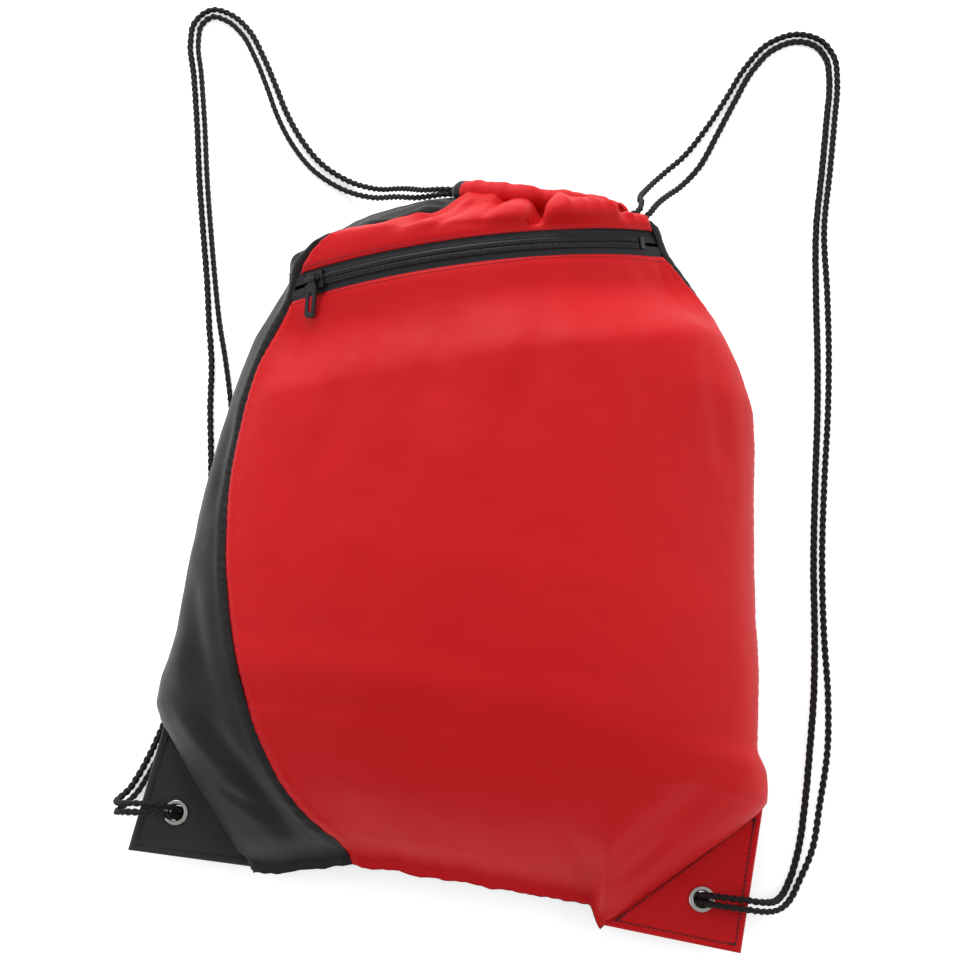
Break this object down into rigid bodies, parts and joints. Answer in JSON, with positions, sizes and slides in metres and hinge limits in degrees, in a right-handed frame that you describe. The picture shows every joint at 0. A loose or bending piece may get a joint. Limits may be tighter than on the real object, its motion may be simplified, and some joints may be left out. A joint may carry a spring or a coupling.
{
  "type": "drawstring backpack",
  "caption": "Stuffed two-tone drawstring backpack lying on its back: zipped front pocket, curved side insert, cinched mouth, and doubled cords through eyelets in the lower corners.",
  "frame": {"origin": "middle of the flat of the back panel, on the surface the bag lies on", "axes": "+Z out through the front pocket, +Y from the hem to the cinched mouth, +X to the right seen from the front"},
  "size_m": [0.4454, 0.5495, 0.116],
  "materials": {
    "red_nylon": "coated plain weave, soft sheen",
    "charcoal_nylon": "coated plain weave, soft sheen",
    "black_cord": "plaited polypropylene",
    "nickel": "nickel plate",
    "black_metal": "black lacquered zinc",
    "zip_coil_black": "nylon coil",
    "zip_tape_black": "woven tape"
  },
  "bodies": {
    "bag": {"pocket_panel": "red_nylon", "upper_panel": "red_nylon", "front_casing": "red_nylon", "patch_right_front": "red_nylon", "side_insert": "charcoal_nylon", "back_panel": "charcoal_nylon", "pocket_lining": "charcoal_nylon", "back_casing": "charcoal_nylon", "patch_left_front": "charcoal_nylon", "patch_left_back": "charcoal_nylon", "patch_right_back": "charcoal_nylon", "eyelet_left": "nickel", "eyelet_right": "nickel", "washer_left": "nickel", "washer_right": "nickel", "zip_tape_upper": "zip_tape_black", "zip_tape_lower": "zip_tape_black", "zip_coil_upper": "zip_coil_black", "zip_coil_lower": "zip_coil_black", "zip_stop_upper": "zip_coil_black", "zip_stop_lower": "zip_coil_black", "zip_stop_end": "zip_coil_black", "cord_left_a": "black_cord", "cord_left_b": "black_cord", "cord_right_a": "black_cord", "cord_right_b": "black_cord", "knot_left": "black_cord", "knot_right": "black_cord"},
    "slider": {"zip_slider": "black_metal"},
    "tab": {"pull_tab": "black_metal"}
  },
  "joints": [
    {"name": "zip_travel", "type": "hinge", "parent": "bag", "child": "slider", "pos_m": [-0.04275, 0.15795, -0.05064], "axis": [-0.2855, 0.9498, 0.1277], "range_deg": [0, 65]},
    {"name": "pull_tab_swing", "type": "hinge", "parent": "slider", "child": "tab", "pos_m": [-0.11142, 0.11761, 0.09593], "axis": [-0.8654, -0.1983, -0.4601], "range_deg": [0, 150]}
  ]
}
